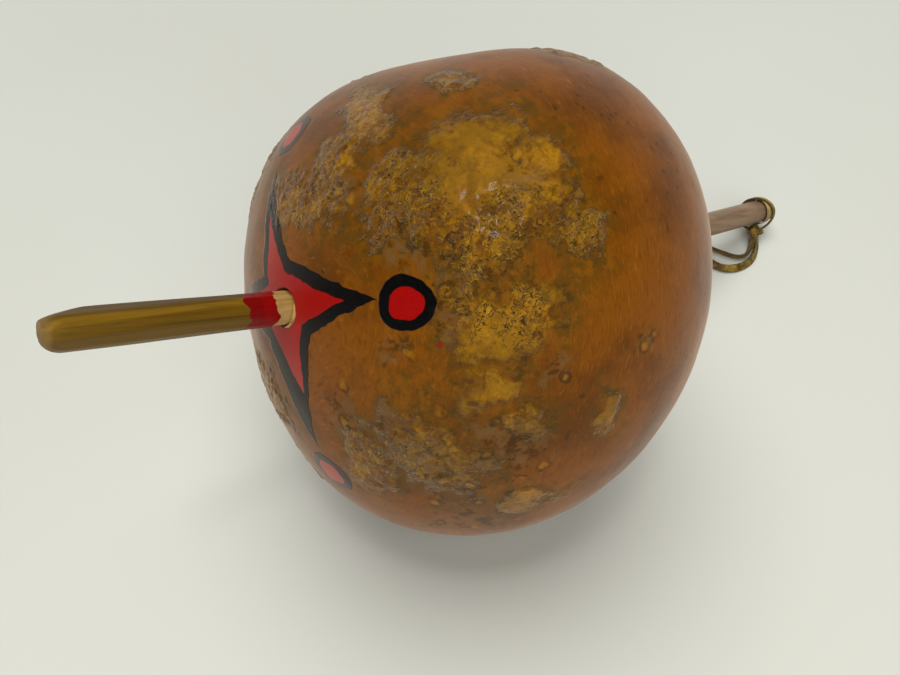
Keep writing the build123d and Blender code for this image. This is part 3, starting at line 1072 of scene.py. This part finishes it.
class RATTLE_OT_binding(bpy.types.Operator):
    """Builds the tight lace winding at the handle's end"""

    bl_idname = "rattle.binding"
    bl_label = "Binding"

    def execute(self, context):
        settings = context.scene.rattle_lace
        steps = 150
        turns = 1.7
        line, faces = [], []
        for step in range(steps + 1):
            share = step / steps
            angle = 200 + 360 * turns * share
            reach = BINDING_REACH - 0.7 * MM * share
            line.append(round_handle(angle, reach, (5.2 + 0.6 * share) * MM))
            faces.append(line[-1] - centre - handle_way * reach)
        binding = strap("binding", line, faces, settings.width * 1.25, 0.5 * MM)
        finish = lace_material("pale_lace", settings.pale, settings.pale_dark, settings.dark)
        binding.data.materials.append(finish)
        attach(binding, "rattle")
        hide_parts("lace_binding")
        return {"FINISHED"}


class RATTLE_OT_tie(bpy.types.Operator):
    """Builds the loose turn of lace and its knot"""

    bl_idname = "rattle.tie"
    bl_label = "Loose turn and knot"

    def execute(self, context):
        settings = context.scene.rattle_lace
        finish = lace_material("leather_lace", settings.light, settings.dark, settings.creased)
        route = [round_handle(turn, reach * MM, radius * MM) for turn, reach, radius in TURN_ROUTE]
        line = smooth_line(route, cyclic=True)
        faces = []
        for point in line:
            arm = point - centre
            faces.append(arm - handle_way * arm.dot(handle_way))
        turn = strap("turn", line, faces, settings.width * 0.55, 0.9 * MM, cyclic=True)

        # A trefoil, pulled tight.
        steps = 120
        spread = 1.35 * MM
        middle = knot_centre - handle_way * 1.7 * MM
        line, faces = [], []
        for step in range(steps):
            angle = tau * step / steps
            across = sin(angle) + 2 * sin(2 * angle)
            up = cos(angle) - 2 * cos(2 * angle)
            over = -1.1 * sin(3 * angle)
            spot = handle_way * across * 0.85 + handle_side * up * 0.6 + handle_top * over * 0.8
            line.append(middle + spot * spread)
            faces.append(spot.normalized() + handle_top * 0.2)
        knot = strap("lace_knot", line, faces, 2.4 * MM, 1.4 * MM, cyclic=True, floor=0.1 * MM)
        for piece, node in ((turn, "loose_turn"), (knot, "knot")):
            piece.data.materials.append(finish)
            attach(piece, "lace_tie")
            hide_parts(node)
        return {"FINISHED"}


class RATTLE_OT_loop(bpy.types.Operator):
    """Builds the hanging loop, a limp flat lace on the table"""

    bl_idname = "rattle.loop"
    bl_label = "Hanging loop"

    def execute(self, context):
        settings = context.scene.rattle_lace
        line = smooth_line([Vector(point) * MM for point in LOOP_ROUTE])
        last = len(line) - 1
        faces = []
        for number, way in enumerate(tangents(line, False)):
            along = number / last * (len(LOOP_LEANS) - 1)
            step = min(int(along), len(LOOP_LEANS) - 2)
            lean = LOOP_LEANS[step] + (LOOP_LEANS[step + 1] - LOOP_LEANS[step]) * (along - step)
            turn = radians(lean)
            level = way.cross(Vector((0, 0, 1))).normalized()
            faces.append(level.cross(way) * cos(turn) + level * sin(turn))
        loop = strap("loop", line, faces, settings.width, settings.thickness, floor=0.05 * MM)
        loop.data.materials.append(bpy.data.objects["turn"].active_material)
        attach(loop, "loop")
        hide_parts("hanging_loop")
        return {"FINISHED"}


class RATTLE_OT_seeds(bpy.types.Operator):
    """Gives the loose seeds their dry coat"""

    bl_idname = "rattle.seeds"
    bl_label = "Seeds"

    def execute(self, context):
        finish = seed_material(context.scene.rattle_seeds)
        for name, node in frame["nodes"].items():
            if name.startswith("seed_"):
                node.data.materials.clear()
                node.data.materials.append(finish)
        return {"FINISHED"}


def soft_light(name, kind, place, target, size, power, colour, mirrored):
    """A soft light that looks at a point. Mirrored says whether glossy things show it."""
    light = bpy.data.lights.new(name, kind)
    if kind == "SUN":
        light.angle = size
    else:
        light.shape = "SQUARE"
        light.size = size
    light.energy = power
    light.color = colour
    lamp = placed(name, light)
    lamp.location = place
    lamp.rotation_euler = (Vector(place) - target).to_track_quat("Z", "Y").to_euler()
    lamp.visible_glossy = mirrored


class RATTLE_OT_stage(bpy.types.Operator):
    """Sets the table, the soft lights and the camera"""

    bl_idname = "rattle.stage"
    bl_label = "Stage"

    def execute(self, context):
        settings = context.scene.rattle_stage
        form = bmesh.new()
        bmesh.ops.create_grid(form, x_segments=1, y_segments=1, size=settings.size / 2)
        table = formed("table", form)
        table.data.materials.append(floor_material(settings))

        world = bpy.data.worlds.new("room")
        world.use_nodes = True
        room = Graph(world.node_tree)
        look = room.node("ShaderNodeTexCoord", None, out="Generated")
        away = 1.0 - look.dot((-0.34, -0.50, 0.79)).ease(-0.45, 0.10)
        level = 1.0 - abs(look.dot((0, 0, 1))).ease(0.05, 0.40)
        bright = away * 0.70 + level * 0.32 + 0.05
        sky = room.node("ShaderNodeBackground", None, (0.97, 0.99, 1.0, 1), bright)
        room.node("ShaderNodeOutputWorld", None, sky)
        context.scene.world = world
        warm, white = (1.0, 0.99, 0.96), (1.0, 1.0, 1.0)
        spread = radians(52)
        soft_light("ceiling", "SUN", (0.10, 0.30, 1.35), centre, spread, 2.25, warm, False)
        soft_light("fill", "AREA", (-0.40, -0.90, 0.90), centre, 1.3, 11.5, warm, False)
        soft_light("lamp", "AREA", (-0.25, -0.25, 1.9), centre, 0.22, 2.5, white, True)
        context.scene.view_settings.view_transform = "Standard"

        camera = bpy.data.cameras.new("camera")
        camera.lens = settings.lens
        camera.sensor_width = 36.0
        camera.clip_start = 0.01
        eye = placed("camera", camera)
        eye.location = centre + EYE_PLACE
        eye.rotation_euler = Euler((radians(EYE_TILT), 0, radians(EYE_TURN)))
        context.scene.camera = eye
        return {"FINISHED"}


SETTINGS = [
    ("rattle_gourd", GourdSettings),
    ("rattle_stick", StickSettings),
    ("rattle_lace", LaceSettings),
    ("rattle_glue", GlueSettings),
    ("rattle_seeds", SeedSettings),
    ("rattle_stage", StageSettings),
]
OPERATORS = [
    RATTLE_OT_stage,
    RATTLE_OT_tie,
    RATTLE_OT_loop,
    RATTLE_OT_binding,
    RATTLE_OT_gourd,
    RATTLE_OT_stick,
    RATTLE_OT_glue,
    RATTLE_OT_seeds,
]


class RATTLE_PT_panel(bpy.types.Panel):
    """Lists the rattle's pieces"""

    bl_idname = "RATTLE_PT_panel"
    bl_label = "Gourd rattle"
    bl_space_type = "VIEW_3D"
    bl_region_type = "UI"
    bl_category = "Rattle"

    def draw(self, context):
        for operator in OPERATORS:
            self.layout.operator(operator.bl_idname)


def register():
    for name, group in SETTINGS:
        bpy.utils.register_class(group)
        setattr(bpy.types.Scene, name, PointerProperty(type=group))
    for operator in OPERATORS:
        bpy.utils.register_class(operator)
    bpy.utils.register_class(RATTLE_PT_panel)


def unregister():
    bpy.utils.unregister_class(RATTLE_PT_panel)
    for operator in reversed(OPERATORS):
        bpy.utils.unregister_class(operator)
    for name, group in reversed(SETTINGS):
        delattr(bpy.types.Scene, name)
        bpy.utils.unregister_class(group)


def main():
    register()
    for operator in OPERATORS:
        area, name = operator.bl_idname.split(".")
        getattr(getattr(bpy.ops, area), name)()


if __name__ == "__main__":
    main()
